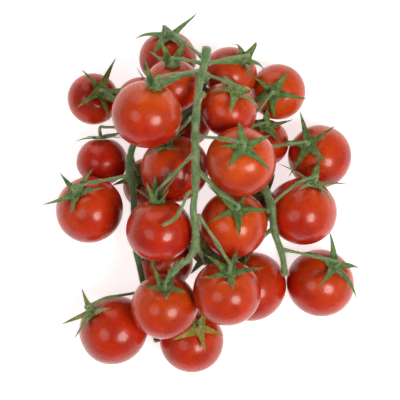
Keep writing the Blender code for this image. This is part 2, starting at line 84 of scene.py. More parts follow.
# How far a fruit has stopped short of full red (0 deep red to 1 orange), by fruit number.
ORANGE = {1: 0.35, 2: 0.55, 3: 0.55, 4: 0.85, 5: 0.65, 6: 0.5, 7: 0.9, 8: 0.4, 9: 0.75,
          10: 0.6, 11: 0.3, 12: 0.65, 15: 0.1, 16: 0.1, 18: 0.4, 20: 0.25, 21: 0.3, 22: 1.0,
          23: 0.3, 24: 0.55, 25: 0.55, 27: 0.5, 28: 0.45}
USUAL_ORANGE = 0.3
# Fruits with a healed growth crack around the stem end.
RUSSET = {10: 0.9, 4: 0.3, 9: 0.4}

# ---- sepals ---------------------------------------------------------------------------------
# Sepals longer than their solid's, by calyx number.
LONG_SEPALS = {1: 1.2, 7: 1.1, 9: 1.1, 10: 1.1, 15: 1.15, 18: 1.1, 20: 1.25, 22: 1.1, 24: 1.2,
               25: 1.3, 27: 1.3}
# Sepals that have grown long and bent aside: calyx number, heading from the hub, stretch, and
# how far the tip has moved in mm.
STRAY_SEPALS = {1: ((0.34, 1.0, 0.0), 1.35, (-5.5, 6.0, 0.0))}
# How far a calyx has yellowed.
YELLOWED = {21: 0.9, 15: 0.45, 20: 0.45, 12: 0.15, 5: 0.3}
USUAL_YELLOW = 0.06
SEPAL_STEPS = 26
SEPAL_ACROSS = 8
SEPAL_THICKNESS = 0.45 * MM
SEPAL_TIP_THINNING = 0.55      # share of the thickness lost at the tip
SEPAL_EDGE_THINNING = 0.8      # and at the edges
SEPAL_GROOVE = 0.09 * MM       # depth of the furrow over the midrib
SEPAL_RIB = 0.16 * MM          # height of the midrib below
SEPAL_GROOVE_WIDTH = 0.14      # their widths, by half the blade's
SEPAL_RIB_WIDTH = 0.2
SEPAL_LENGTH_MM = 12.0         # what the UV map's height stands for on a usual sepal
SEPAL_FOOT_HEIGHT = 0.9 * MM   # where the blade starts, above and beside the hub
SEPAL_FOOT_REACH = 0.8 * MM
SEPAL_CURL = (-1.5 * MM, 2.5 * MM)    # how far a tip bends down or up
SEPAL_SWAY = 1.3 * MM                  # how far it bends to a side
SEPAL_BREADTH = (1.25, 1.55)   # by the solid's
SEPAL_WEB = (0.24, 0.14, 0.13) # extra width by the hub, its place along the blade, its spread
SEPAL_POINT = 0.02             # least width, by the greatest
SEPAL_FOLD = (0.05, 0.30)      # how far the edges rise, by half the width
SEPAL_RIPPLE = (0.0, 0.10)     # height of the waves along the edges, by half the width
SEPAL_WAVES = (1.5, 3.5)       # number of those waves
SEPAL_TWIST = (-0.5, 0.5)      # radians at the tip
SEPAL_FULLNESS = (0.85, 1.35)  # below 1 the sides are hollow, above 1 they bulge
SKIN_CLEARANCE = 0.45 * MM     # between a sepal's middle line and any fruit

# The joined bases of the sepals: a low dome, as reach from the hub and height, in mm.
HUB_PROFILE_MM = ((0.75, 2.2), (1.15, 1.6), (1.9, 1.2), (2.9, 1.0), (3.6, 0.8), (3.75, 0.5),
                  (2.6, 0.35), (1.0, 0.3))
HUB_SIDES = 40
HUB_PLACE = (0.3, 0.1)         # its colour is read beside a blade's midrib, near the foot
HUB_TOP = 2.2 * MM
HUB_BOTTOM = 0.3 * MM
HUB_NOTCH = 0.30               # depth of the notches between the sepals, by reach
HUB_NOTCH_ANGLE = 0.6          # radians from a sepal to full depth
HUB_NOTCH_START_MM = 2.2       # reach past which the notches have their full depth

# ---- stalks ---------------------------------------------------------------------------------
PEDICEL_SHARE = 0.86           # of a pedicel's solid, whose few flat sides stand proud
PEDICEL_STEPS = 44
PEDICEL_ENDS = (0.9, 1.15)     # radius at the hub and inside the rachis, by the solid's
PEDICEL_FOOT = 0.7 * MM        # height of its lower end over the hub
PEDICEL_LET_IN = 1.4 * MM      # how far its upper end runs into the rachis
PEDICEL_SIDES = 14
STALK_SIDES = 18
STALK_LET_IN = 1.2 * MM        # how far a side stalk runs into its parent
STEPS_ALONG = {"main_rachis": 200, "left_rachis": 240, "right_rachis": 200}
BARE_PEDICEL_STEPS = 30
STEM_RIBS = 5                  # shallow ridges round a stem
STEM_RIB_TURN = 2.5            # radians that they wind from end to end
STEM_RIB_HEIGHT = {"rachis": 0.035, "pedicel": 0.03}    # by radius
# Slow swellings along a stem: height by radius, and radians from end to end.
RACHIS_WAVES = (0.03, 47)
PEDICEL_WAVES = (0.04, 19)
STEM_DOME = 0.25               # height of a closed end, by radius
STEM_UV_MM = 60.0              # stretch of stem that fills the UV map from bottom to top
JOINT_SWELL = 0.25 * MM        # extra radius that reads as a full joint
JOINT_TINT = 0.6
CUT_REACH = 0.012              # how far a cut end has dried, by the rachis's length
CUT_FADE = 0.008
# Painted shade: how much darker green a rachis is drawn where it lies away from the light, in
# shadow.
PAINTED_SHADE_GREEN = {"left_rachis": 0.55, "right_rachis": 0.2}
# Knuckles left by lost fruits: rachis, place along it (0 to 1), way out, length and radius in mm.
STUBS = (("main_rachis", 0.22, (1.0, -0.3, 0.2), 2.4, 1.25),
         ("main_rachis", 0.02, (0.6, 0.5, 0.6), 1.8, 1.3),
         ("main_rachis", 0.93, (0.2, 0.6, 0.9), 2.0, 1.2),
         ("right_rachis", 0.70, (-1.0, 0.1, 0.1), 2.2, 1.1),
         ("left_rachis", 0.97, (0.8, -0.3, 0.5), 2.6, 1.2))
# Their outline from root to cap, by radius: a waist, then the swollen scar.
STUB_OUTLINE = (1.1, 1.0, 0.92, 0.9, 0.98, 1.08, 1.1, 0.95, 0.6)
STUB_START = 0.2 * MM
STUB_CAP_MM = 0.8

# ---- hairs ----------------------------------------------------------------------------------
# Real hairs are about half as thick; these are as thin as still shows.
HAIR_LENGTH = 0.75 * MM
HAIR_THICKNESS = 0.040 * MM    # radius at the root
HAIR_TIP = 0.004 * MM
HAIR_LEAN = (0.6, 0.6, 3.1)    # most that a hair tilts and spins, radians
HAIR_SIZES = (0.45, 1.25)
RACHIS_HAIRS = 360 * PER_CM2
CALYX_HAIRS = 180 * PER_CM2
CALYX_HAIR_LENGTH = 0.60 * MM

# ---- stage ----------------------------------------------------------------------------------
BOARD_HALF = 1.6
BOARD_GLOW = 0.72              # so that the board reads near white between the fruits
TENT_STRENGTH = 0.44
# Lamps: name, way from the truss, distance, size, watts and tint.
LAMPS = (("key", (0.451, -0.282, 0.843), 0.9, 0.44, 6.4, "FFFAF4"),
         ("left_fill", (-0.48, -0.12, 0.87), 1.2, 0.7, 3.2, "FAFAFC"),
         ("back_window", (-0.25, 0.85, 0.45), 1.3, 1.1, 4.2, "FAFAFC"))
AIM_OFFSET = (-1.9 * MM, -0.8 * MM)    # of the view's middle from the truss's
AIM_HEIGHT = 30 * MM
EYE_HEIGHT = 0.48              # over the aim
EYE_LENS = 92
EYE_SENSOR = 36
EYE_NEAR = 10 * MM

# ---- node settings ----------------------------------------------------------------------------
SMOOTH = {"interpolation_type": "SMOOTHSTEP"}
# A colour mix has its factor on input 0 and its two colours on inputs 6 and 7.
COLOURS = {"data_type": "RGBA"}
PRODUCT = {"operation": "MULTIPLY"}


def srgb(code):
    """A hex colour as linear red, green, blue and alpha."""
    parts = [int(code[k:k + 2], 16) / 255 for k in (0, 2, 4)]
    return [c / 12.92 if c <= 0.04045 else ((c + 0.055) / 1.055) ** 2.4 for c in parts] + [1.0]


def unit(vector):
    return vector / np.linalg.norm(vector)


def square_to(axis):
    """Two directions square to an axis and to each other."""
    side = unit(np.cross(axis, ASKEW))
    return side, np.cross(axis, side)


# ---- reading the solids ---------------------------------------------------------------------
def read_solid(name):
    """A node's merged vertices and, for each, the numbers of its neighbours."""
    work = bmesh.new()
    work.from_mesh(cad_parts[name].data)
    bmesh.ops.remove_doubles(work, verts=work.verts, dist=1e-6)
    work.verts.index_update()
    points = np.array([vertex.co for vertex in work.verts])
    neighbours = [[e.other_vert(v).index for e in v.link_edges] for v in work.verts]
    work.free()
    return points, neighbours


def rings_from(neighbours, start):
    """The vertices one edge away from start, then two, and so on."""
    rings, seen = [[start]], {start}
    while rings[-1]:
        fresh = sorted({n for v in rings[-1] for n in neighbours[v]} - seen)
        seen.update(fresh)
        rings.append(fresh)
    return rings[:-1]


def poles(points, neighbours, sides):
    """Vertices in the middle of a fan of that many equal spokes, the most regular first."""
    found = []
    for number, around in enumerate(neighbours):
        if len(around) == sides:
            spokes = np.linalg.norm(points[around] - points[number], axis=1)
            found.append((spokes.std() / spokes.mean(), number))
    return [number for _, number in sorted(found)]


def distances_from(points, neighbours, start):
    """Length of the shortest way along edges from start to every vertex."""
    distance = np.full(len(points), np.inf)
    distance[start] = 0
    waiting = [start]
    while waiting:
        fresh = []
        for v in waiting:
            for n in neighbours[v]:
                length = distance[v] + np.linalg.norm(points[n] - points[v])
                if length < distance[n] - 1e-12:
                    distance[n] = length
                    fresh.append(n)
        waiting = fresh
    return distance


# ---- lines ------------------------------------------------------------------------------------
def smooth_line(points, count):
    """Read count evenly spaced points (of any number of values) from a smooth curve."""
    points = np.array(points, float)
    padded = np.vstack([2 * points[0] - points[1], points, 2 * points[-1] - points[-2]])
    fine = []
    for a, b, c, d in zip(padded, padded[1:], padded[2:], padded[3:]):
        for t in np.linspace(0, 1, 12, endpoint=False):
            fine.append(0.5 * (2 * b + (c - a) * t + (2 * a - 5 * b + 4 * c - d) * t ** 2
                               + (3 * b - a - 3 * c + d) * t ** 3))
    fine.append(points[-1])
    fine = np.array(fine)
    steps = np.linalg.norm(np.diff(fine[:, :3], axis=0), axis=1)
    distance = np.concatenate([[0], np.cumsum(steps)])
    places = np.linspace(0, distance[-1], count)
    return np.stack([np.interp(places, distance, column) for column in fine.T], axis=1)


def sides_along(line, first=None):
    """A side and an upward vector at each point of a line, turned as little as possible."""
    tangents = np.gradient(line, axis=0)
    side = first
    if side is None:
        spare = np.array([0, 0, 1.0]) if abs(unit(tangents[0])[2]) < 0.8 else np.array([1.0, 0, 0])
        side = np.cross(tangents[0], spare)
    sides, ups = [], []
    for tangent in tangents:
        tangent = unit(tangent)
        side = unit(side - tangent * side.dot(tangent))
        sides.append(side)
        ups.append(np.cross(tangent, side))
    return np.array(sides), np.array(ups)


# ---- making meshes --------------------------------------------------------------------------
class Shape:
    """Vertices, faces and each vertex's place on the surface, gathered for one piece."""

    def __init__(self):
        self.vertices, self.faces, self.places = [], [], []

    def add_ring(self, ring, places):
        first = len(self.vertices)
        self.vertices += [tuple(v) for v in ring]
        self.places += places
        return list(range(first, first + len(ring)))

    def bridge(self, a, b):
        count = len(a)
        for k in range(count):
            after = (k + 1) % count
            self.faces.append((a[k], a[after], b[after], b[k]))

    def bridge_all(self, rings):
        for a, b in zip(rings, rings[1:]):
            self.bridge(a, b)

    def close(self, ring, point, place):
        self.vertices.append(tuple(point))
        self.places.append(place)
        pole = len(self.vertices) - 1
        for k in range(len(ring)):
            self.faces.append((ring[k], ring[(k + 1) % len(ring)], pole))


def make_piece(name, shape, material, values=None):
    """One smooth mesh at the origin, with its surface places as UVs and named values."""
    mesh = bpy.data.meshes.new(name)
    mesh.from_pydata(shape.vertices, [], shape.faces)
    uvs = mesh.uv_layers.new(name="surface")
    for loop in mesh.loops:
        uvs.data[loop.index].uv = shape.places[loop.vertex_index]
    for key, value in (values or {}).items():
        layer = mesh.attributes.new(key, "FLOAT", "POINT")
        numbers = np.broadcast_to(np.asarray(value, np.float32), len(mesh.vertices))
        layer.data.foreach_set("value", np.ascontiguousarray(numbers))
    work = bmesh.new()
    work.from_mesh(mesh)
    bmesh.ops.recalc_face_normals(work, faces=work.faces)
    work.to_mesh(mesh)
    work.free()
    mesh.shade_smooth()
    mesh.materials.append(material)
    piece = bpy.data.objects.new(name, mesh)
    bpy.context.scene.collection.objects.link(piece)
    return piece


# ---- materials --------------------------------------------------------------------------------
def per_mm(size_mm):
    """Texture scale on Object coordinates for features that many millimetres apart."""
    return 1000.0 / size_mm


def fill(node, inputs):
    """Give each named input of a node a value, or a link from another node."""
    for key, value in inputs.items():
        if isinstance(value, bpy.types.Node):
            value = next(socket for socket in value.outputs if socket.enabled)
        if isinstance(value, bpy.types.NodeSocket):
            node.id_data.links.new(value, node.inputs[key])
        else:
            node.inputs[key].default_value = value


def add(tree, kind, inputs=None, **settings):
    """Add a node with its settings, values and links."""
    node = tree.nodes.new(kind)
    for key, value in settings.items():
        setattr(node, key, value)
    fill(node, inputs or {})
    return node


def start_material(name, sockets):
    """A Principled material whose even values sit on the shader's own sockets."""
    material = bpy.data.materials.new(name)
    material.use_nodes = True
    tree = material.node_tree
    shader = tree.nodes["Principled BSDF"]
    fill(shader, sockets)
    return material, tree, shader


def ripe_tomato_skin():
    """Ripe tomato: a thin waxy cuticle, smooth as grown, over wet red flesh.

    The cuticle gives a small bright highlight with a softer one under it. The flesh lets light
    in, so the shaded side stays a warm red.
    """
    material, tree, shader = start_material("ripe_tomato_skin", {
        "IOR": 1.36, "Subsurface Weight": 0.12, "Subsurface Radius": (1.0, 0.22, 0.06),
        "Subsurface Scale": 3 * MM, "Coat Weight": 0.42, "Coat Roughness": 0.12,
        "Coat IOR": 1.38, "Coat Tint": srgb("FFF1E4")})
    place = add(tree, "ShaderNodeTexCoord").outputs["Object"]
    surface = add(tree, "ShaderNodeUVMap", uv_map="surface")
    from_stem = add(tree, "ShaderNodeSeparateXYZ", {0: surface}).outputs["Y"]
    orange = add(tree, "ShaderNodeAttribute", attribute_name="orange").outputs["Fac"]
    russet = add(tree, "ShaderNodeAttribute", attribute_name="russet").outputs["Fac"]

    # Two reds in clouds a centimetre across, because no fruit ripens evenly.
    cloud = add(tree, "ShaderNodeTexNoise", {
        "Vector": place, "Scale": per_mm(11), "Detail": 2})
    cloud = add(tree, "ShaderNodeMapRange", {
        "Value": cloud, "From Min": 0.35, "From Max": 0.65}, **SMOOTH)
    colour = add(tree, "ShaderNodeMix", {
        0: cloud, 6: srgb("A01204"), 7: srgb("BC2406")}, **COLOURS)

    # The shoulder ripens last: orange from the stem end down, blotched, by each fruit's share.
    shoulder = add(tree, "ShaderNodeMapRange", {
        "Value": from_stem, "From Min": 0.62, "From Max": 0.06}, **SMOOTH)
    shoulder = add(tree, "ShaderNodeMath", {0: shoulder, 1: orange}, **PRODUCT)
    blotch = add(tree, "ShaderNodeTexNoise", {
        "Vector": place, "Scale": per_mm(7), "Detail": 3})
    blotch = add(tree, "ShaderNodeMapRange", {
        "Value": blotch, "From Min": 0.25, "From Max": 0.7, "To Min": 0.45}, **SMOOTH)
    shoulder = add(tree, "ShaderNodeMath", {0: shoulder, 1: blotch}, **PRODUCT)
    colour = add(tree, "ShaderNodeMix", {0: shoulder, 6: colour, 7: srgb("DC5C12")}, **COLOURS)

    # Fibres under the skin run down from the stem end as faint pale streaks.
    streak_width_mm, streak_length_mm = 1.35, 20
    stretched = add(tree, "ShaderNodeMapping", {
        0: surface,
        3: (FRUIT_GIRTH_MM / streak_width_mm, FRUIT_MERIDIAN_MM / streak_length_mm, 1.0)})
    streak = add(tree, "ShaderNodeTexNoise", {
        "Vector": stretched, "Scale": 1, "Detail": 3, "Roughness": 0.6})
    streak = add(tree, "ShaderNodeMapRange", {
        "Value": streak, "From Min": 0.45, "From Max": 0.75}, **SMOOTH)
    fade = add(tree, "ShaderNodeMapRange", {
        "Value": from_stem, "From Min": 0.5, "From Max": 0.08, "To Max": 0.2}, **SMOOTH)
    streak = add(tree, "ShaderNodeMath", {0: streak, 1: fade}, **PRODUCT)
    colour = add(tree, "ShaderNodeMix", {0: streak, 6: colour, 7: srgb("E87A34")}, **COLOURS)

    # Pale specks in patches give the skin its fine grain. Real ones are under a millimetre
    # apart, too fine to show, so they are drawn at 1.6 mm.
    cells = add(tree, "ShaderNodeTexVoronoi", {"Vector": place, "Scale": per_mm(1.6)})
    speck = add(tree, "ShaderNodeMapRange", {
        "Value": cells.outputs["Distance"], "From Min": 0.17, "From Max": 0.08}, **SMOOTH)
    patch = add(tree, "ShaderNodeTexNoise", {
        "Vector": place, "Scale": per_mm(5), "Detail": 2})
    patch = add(tree, "ShaderNodeMapRange", {
        "Value": patch, "From Min": 0.46, "From Max": 0.60, "To Max": 0.55}, **SMOOTH)
    speck = add(tree, "ShaderNodeMath", {0: speck, 1: patch}, **PRODUCT)
    colour = add(tree, "ShaderNodeMix", {0: speck, 6: colour, 7: srgb("F2A45C")}, **COLOURS)

    # A healed growth crack: a broken, wandering line of tan cork around the stem end.
    wobble = add(tree, "ShaderNodeTexNoise", {
        "Vector": place, "Scale": per_mm(3.5), "Detail": 4, "Roughness": 0.7})
    bent = add(tree, "ShaderNodeMath", {0: wobble, 1: 0.06, 2: from_stem},
               operation="MULTIPLY_ADD")
    upper = add(tree, "ShaderNodeMapRange", {
        "Value": bent, "From Min": 0.128, "From Max": 0.138}, **SMOOTH)
    lower = add(tree, "ShaderNodeMapRange", {
        "Value": bent, "From Min": 0.160, "From Max": 0.146}, **SMOOTH)
    broken = add(tree, "ShaderNodeTexNoise", {
        "Vector": place, "Scale": per_mm(4), "Detail": 3})
    broken = add(tree, "ShaderNodeMapRange", {
        "Value": broken, "From Min": 0.46, "From Max": 0.54}, **SMOOTH)
    crack = add(tree, "ShaderNodeMath", {0: upper, 1: lower}, **PRODUCT)
    crack = add(tree, "ShaderNodeMath", {0: crack, 1: broken}, **PRODUCT)
    crack = add(tree, "ShaderNodeMath", {0: crack, 1: russet}, **PRODUCT)
    colour = add(tree, "ShaderNodeMix", {0: crack, 6: colour, 7: srgb("D0956A")}, **COLOURS)

    # Cork again: the brown dot at the blossom end and the tan rim under the calyx.
    scar = add(tree, "ShaderNodeMapRange", {
        "Value": from_stem, "From Min": 0.984, "From Max": 0.993}, **SMOOTH)
    colour = add(tree, "ShaderNodeMix", {0: scar, 6: colour, 7: srgb("6B4A22")}, **COLOURS)
    rim = add(tree, "ShaderNodeMapRange", {
        "Value": from_stem, "From Min": 0.085, "From Max": 0.045, "To Max": 0.55}, **SMOOTH)
    colour = add(tree, "ShaderNodeMix", {0: rim, 6: colour, 7: srgb("C87A2C")}, **COLOURS)

    # Wax lies thicker in places, which breaks up the edge of each highlight.
    wax = add(tree, "ShaderNodeTexNoise", {
        "Vector": place, "Scale": per_mm(4), "Detail": 4, "Roughness": 0.6})
    wax = add(tree, "ShaderNodeMapRange", {
        "Value": wax, "From Min": 0.3, "From Max": 0.75, "To Min": 0.24, "To Max": 0.40},
        **SMOOTH)

    # Relief: skin cells (drawn at 0.45 mm, coarser than real), soft hollows, and the crack.
    cells = add(tree, "ShaderNodeTexNoise", {
        "Vector": place, "Scale": per_mm(0.45), "Detail": 2})
    hollows = add(tree, "ShaderNodeTexNoise", {
        "Vector": place, "Scale": per_mm(6), "Detail": 2})
    relief = add(tree, "ShaderNodeBump", {
        "Height": cells, "Strength": 0.10, "Distance": 0.06 * MM})
    relief = add(tree, "ShaderNodeBump", {
        "Height": hollows, "Strength": 0.25, "Distance": 0.6 * MM, "Normal": relief})
    relief = add(tree, "ShaderNodeBump", {
        "Height": crack, "Strength": 0.8, "Distance": 0.2 * MM, "Normal": relief})
    fill(shader, {"Base Color": colour, "Roughness": wax, "Normal": relief})
    return material


def leafy_sepal():
    """Tomato sepal: a soft matt green leaf, velvety with hairs too fine to see singly.

    The velvet gives a pale sheen at the edges. Thin tissue lets some light through.
    """
    material, tree, shader = start_material("leafy_sepal", {
        "IOR": 1.4, "Roughness": 0.58, "Subsurface Weight": 0.12,
        "Subsurface Radius": (0.5, 1.0, 0.3), "Subsurface Scale": 1.2 * MM,
        "Sheen Weight": 0.35, "Sheen Roughness": 0.45, "Sheen Tint": srgb("DDE8C8")})
    place = add(tree, "ShaderNodeTexCoord").outputs["Object"]
    surface = add(tree, "ShaderNodeUVMap", uv_map="surface")
    split = add(tree, "ShaderNodeSeparateXYZ", {0: surface})
    along = split.outputs["Y"]
    yellow = add(tree, "ShaderNodeAttribute", attribute_name="yellowed").outputs["Fac"]

    # Green mottled with darker green; an old calyx is mottled yellow instead.
    blotch = add(tree, "ShaderNodeTexNoise", {
        "Vector": place, "Scale": per_mm(2.6), "Detail": 3, "Roughness": 0.6})
    green = add(tree, "ShaderNodeMapRange", {
        "Value": blotch, "From Min": 0.3, "From Max": 0.7}, **SMOOTH)
    green = add(tree, "ShaderNodeMix", {
        0: green, 6: srgb("33541F"), 7: srgb("648941")}, **COLOURS)
    aged = add(tree, "ShaderNodeMapRange", {
        "Value": blotch, "From Min": 0.35, "From Max": 0.7}, **SMOOTH)
    aged = add(tree, "ShaderNodeMix", {
        0: aged, 6: srgb("8A8A34"), 7: srgb("C2A544")}, **COLOURS)
    colour = add(tree, "ShaderNodeMix", {0: yellow, 6: green, 7: aged}, **COLOURS)

    # A paler midrib, darker margins and a dry brown tip draw the leaf's outline.
    from_rib = add(tree, "ShaderNodeMath", {0: split, 1: 0.5}, operation="SUBTRACT")
    from_rib = add(tree, "ShaderNodeMath", {0: from_rib}, operation="ABSOLUTE")
    rib = add(tree, "ShaderNodeMapRange", {
        "Value": from_rib, "From Min": 0.09, "From Max": 0.02, "To Max": 0.5}, **SMOOTH)
    colour = add(tree, "ShaderNodeMix", {0: rib, 6: colour, 7: srgb("7E9D57")}, **COLOURS)
    margin = add(tree, "ShaderNodeMapRange", {
        "Value": from_rib, "From Min": 0.38, "From Max": 0.5, "To Max": 0.45}, **SMOOTH)
    colour = add(tree, "ShaderNodeMix", {0: margin, 6: colour, 7: srgb("223C1A")}, **COLOURS)
    tip = add(tree, "ShaderNodeMapRange", {
        "Value": along, "From Min": 0.86, "From Max": 0.99, "To Max": 0.75}, **SMOOTH)
    colour = add(tree, "ShaderNodeMix", {0: tip, 6: colour, 7: srgb("5A4A2A")}, **COLOURS)

    # Relief: side veins that slant off the midrib, and a fine grain that stands for the velvet.
    vein_spacing_mm = 1.257
    slant = add(tree, "ShaderNodeMath", {0: from_rib, 1: 2.2, 2: along},
                operation="MULTIPLY_ADD")
    veins = add(tree, "ShaderNodeMath", {
        0: slant, 1: FULL_TURN * SEPAL_LENGTH_MM / vein_spacing_mm}, **PRODUCT)
    veins = add(tree, "ShaderNodeMath", {0: veins}, operation="SINE")
    grain = add(tree, "ShaderNodeTexNoise", {
        "Vector": place, "Scale": per_mm(0.35), "Detail": 3, "Roughness": 0.6})
    relief = add(tree, "ShaderNodeBump", {
        "Height": grain, "Strength": 0.35, "Distance": 0.1 * MM})
    relief = add(tree, "ShaderNodeBump", {
        "Height": veins, "Strength": 0.2, "Distance": 0.1 * MM, "Normal": relief})
    fill(shader, {"Base Color": colour, "Normal": relief})
    return material


def hairy_stalk():
    """Tomato stalk: ribbed green stem, matt under a bloom of short pale hairs.

    The bloom gives a greyish sheen toward the edges of every stem.
    """
    material, tree, shader = start_material("hairy_stalk", {
        "IOR": 1.4, "Roughness": 0.62, "Subsurface Weight": 0.10,
        "Subsurface Radius": (0.6, 1.0, 0.4), "Subsurface Scale": 1.5 * MM,
        "Sheen Weight": 0.5, "Sheen Roughness": 0.5, "Sheen Tint": srgb("E4EBD2")})
    place = add(tree, "ShaderNodeTexCoord").outputs["Object"]
    surface = add(tree, "ShaderNodeUVMap", uv_map="surface")
    joint = add(tree, "ShaderNodeAttribute", attribute_name="joint").outputs["Fac"]
    # The next value is painted shade: how far a stem's colour is darkened for lying in shadow.
    painted_shade = add(tree, "ShaderNodeAttribute", attribute_name="painted_shade").outputs["Fac"]
    cut = add(tree, "ShaderNodeAttribute", attribute_name="cut").outputs["Fac"]

    # Pale and dark fibres run along the stem.
    fibres_round, fibre_length_mm = 9, 4.286
    stretched = add(tree, "ShaderNodeMapping", {
        0: surface, 3: (fibres_round, STEM_UV_MM / fibre_length_mm, 1.0)})
    stripe = add(tree, "ShaderNodeTexNoise", {
        "Vector": stretched, "Scale": 1, "Detail": 3, "Roughness": 0.55})
    shade = add(tree, "ShaderNodeMapRange", {
        "Value": stripe, "From Min": 0.35, "From Max": 0.65}, **SMOOTH)
    colour = add(tree, "ShaderNodeMix", {
        0: shade, 6: srgb("50703B"), 7: srgb("7E9862")}, **COLOURS)

    # Handling has rubbed patches about a centimetre apart to a greyer green.
    worn = add(tree, "ShaderNodeTexNoise", {
        "Vector": place, "Scale": per_mm(9), "Detail": 3, "Roughness": 0.6})
    worn = add(tree, "ShaderNodeMapRange", {
        "Value": worn, "From Min": 0.5, "From Max": 0.72, "To Max": 0.5}, **SMOOTH)
    colour = add(tree, "ShaderNodeMix", {0: worn, 6: colour, 7: srgb("969F7A")}, **COLOURS)

    # Joints are a fresher green, stems in shadow get a painted shade of deeper green, and cut ends
    # dry to straw.
    colour = add(tree, "ShaderNodeMix", {0: joint, 6: colour, 7: srgb("456C34")}, **COLOURS)
    colour = add(tree, "ShaderNodeMix", {0: painted_shade, 6: colour, 7: srgb("2F5026")}, **COLOURS)
    colour = add(tree, "ShaderNodeMix", {0: cut, 6: colour, 7: srgb("A9A878")}, **COLOURS)

    # Relief: the fibres stand up, and a 0.4 mm grain stands for the feet of the hairs.
    grain = add(tree, "ShaderNodeTexNoise", {
        "Vector": place, "Scale": per_mm(0.4), "Detail": 3, "Roughness": 0.6})
    relief = add(tree, "ShaderNodeBump", {
        "Height": stripe, "Strength": 0.4, "Distance": 0.3 * MM})
    relief = add(tree, "ShaderNodeBump", {
        "Height": grain, "Strength": 0.35, "Distance": 0.12 * MM, "Normal": relief})
    fill(shader, {"Base Color": colour, "Normal": relief})
    return material


def plant_hair():
    """Stalk hair: one row of clear cells, which catches the light as a pale fringe."""
    return start_material("plant_hair", {
        "Base Color": srgb("D7E3C0"), "Roughness": 0.35, "IOR": 1.4,
        "Transmission Weight": 0.25})[0]


def lit_white_board():
    """Matt white card with a faint fibre, lit a little from below, so shadows stay soft."""
    material, tree, shader = start_material("lit_white_board", {
        "Roughness": 0.75, "Emission Color": srgb("FFFFFF"), "Emission Strength": BOARD_GLOW})
    place = add(tree, "ShaderNodeTexCoord").outputs["Object"]
    fibre = add(tree, "ShaderNodeTexNoise", {
        "Vector": place, "Scale": per_mm(1.5), "Detail": 4})
    fibre = add(tree, "ShaderNodeMapRange", {
        "Value": fibre, "From Min": 0.3, "From Max": 0.7}, **SMOOTH)
    tone = add(tree, "ShaderNodeMix", {
        0: fibre, 6: srgb("D6D6D5"), 7: srgb("DEDEDD")}, **COLOURS)
    fill(shader, {"Base Color": tone})
    return material


# ---- fruits -----------------------------------------------------------------------------------
def calyx_hub(number):
    """Point under the middle of a calyx, and its solid's vertices, neighbours and hub vertex."""
    points, neighbours = read_solid(f"calyx_{number:02d}")
    pole = poles(points, neighbours, CALYX_SPOKES)[0]
    return points[pole], (points, neighbours, pole)


def fruit_facts(number):
    """Middle, radius, height share, stem-end direction and dimple depth of a fruit's solid."""
    points, neighbours = read_solid(f"tomato_{number:02d}")
    hub, _ = calyx_hub(number)
    sides = max(len(around) for around in neighbours)
    ends = poles(points, neighbours, sides)[:2]
    ends.sort(key=lambda v: np.linalg.norm(points[v] - hub))
    top, bottom = ends
    axis = unit(points[top] - points[bottom])
    rings = rings_from(neighbours, top)
    radii = [np.linalg.norm(points[ring] - points[ring].mean(axis=0), axis=1).mean()
             for ring in rings]
    widest = int(np.argmax(radii))
    middle = points[rings[widest]].mean(axis=0)
    radius = radii[widest]
    flatness = np.linalg.norm(points[bottom] - middle) / radius
    depth = flatness * radius - (points[top] - middle).dot(axis)
    return middle, radius, flatness, axis, depth


def build_fruit(number, facts, material):
    """A flattened ball with a lobed shoulder, a hollow for the calyx and a blossom scar."""
    middle, radius, flatness, axis, depth = facts
    dice = np.random.default_rng(SEED * 100 + number)
    lobes = int(dice.integers(3, 6))
    phase, lean = dice.uniform(0, FULL_TURN, 2)
    lobe_height = LOBE_SHARE * dice.uniform(0.4, 1.3)
    lean_share = dice.uniform(0.0, LEAN_SHARE)
    side, other = square_to(axis)
    shape = Shape()
    rings = []
    for k in range(1, FRUIT_RINGS):
        angle = math.pi * k / FRUIT_RINGS
        shoulder = 2 * math.sin(angle) * max(0.0, math.cos(angle)) ** 0.7
        ring, places = [], []
        for t in np.arange(FRUIT_SIDES) * FULL_TURN / FRUIT_SIDES:
            girth = 1 + lobe_height * (math.cos(lobes * (t - phase)) - 1) * shoulder
            girth += lean_share * math.cos(t - lean) * math.sin(2 * angle)
            across = radius * math.sin(angle) * girth
            height = flatness * radius * math.cos(angle)
            if angle < math.pi / 2:
                height -= depth * math.exp(-(across / DIMPLE_RADIUS) ** 2)
            else:
                height += SCAR_DEPTH * math.exp(-(across / SCAR_RADIUS) ** 2)
            out = side * math.cos(t) + other * math.sin(t)
            ring.append(middle + out * across + axis * height)
            places.append((t / FULL_TURN, k / FRUIT_RINGS))
        rings.append(shape.add_ring(ring, places))
    shape.bridge_all(rings)
    shape.close(rings[0], middle + axis * (flatness * radius - depth), (0.5, 0.0))
    shape.close(rings[-1], middle - axis * (flatness * radius - SCAR_DEPTH), (0.5, 1.0))
    piece = make_piece(f"ripe_tomato_{number:02d}", shape, material,
                       {"orange": ORANGE.get(number, USUAL_ORANGE),
                        "russet": RUSSET.get(number, 0.0)})
    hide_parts(f"tomato_{number:02d}")
    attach(piece, "root")
    return piece


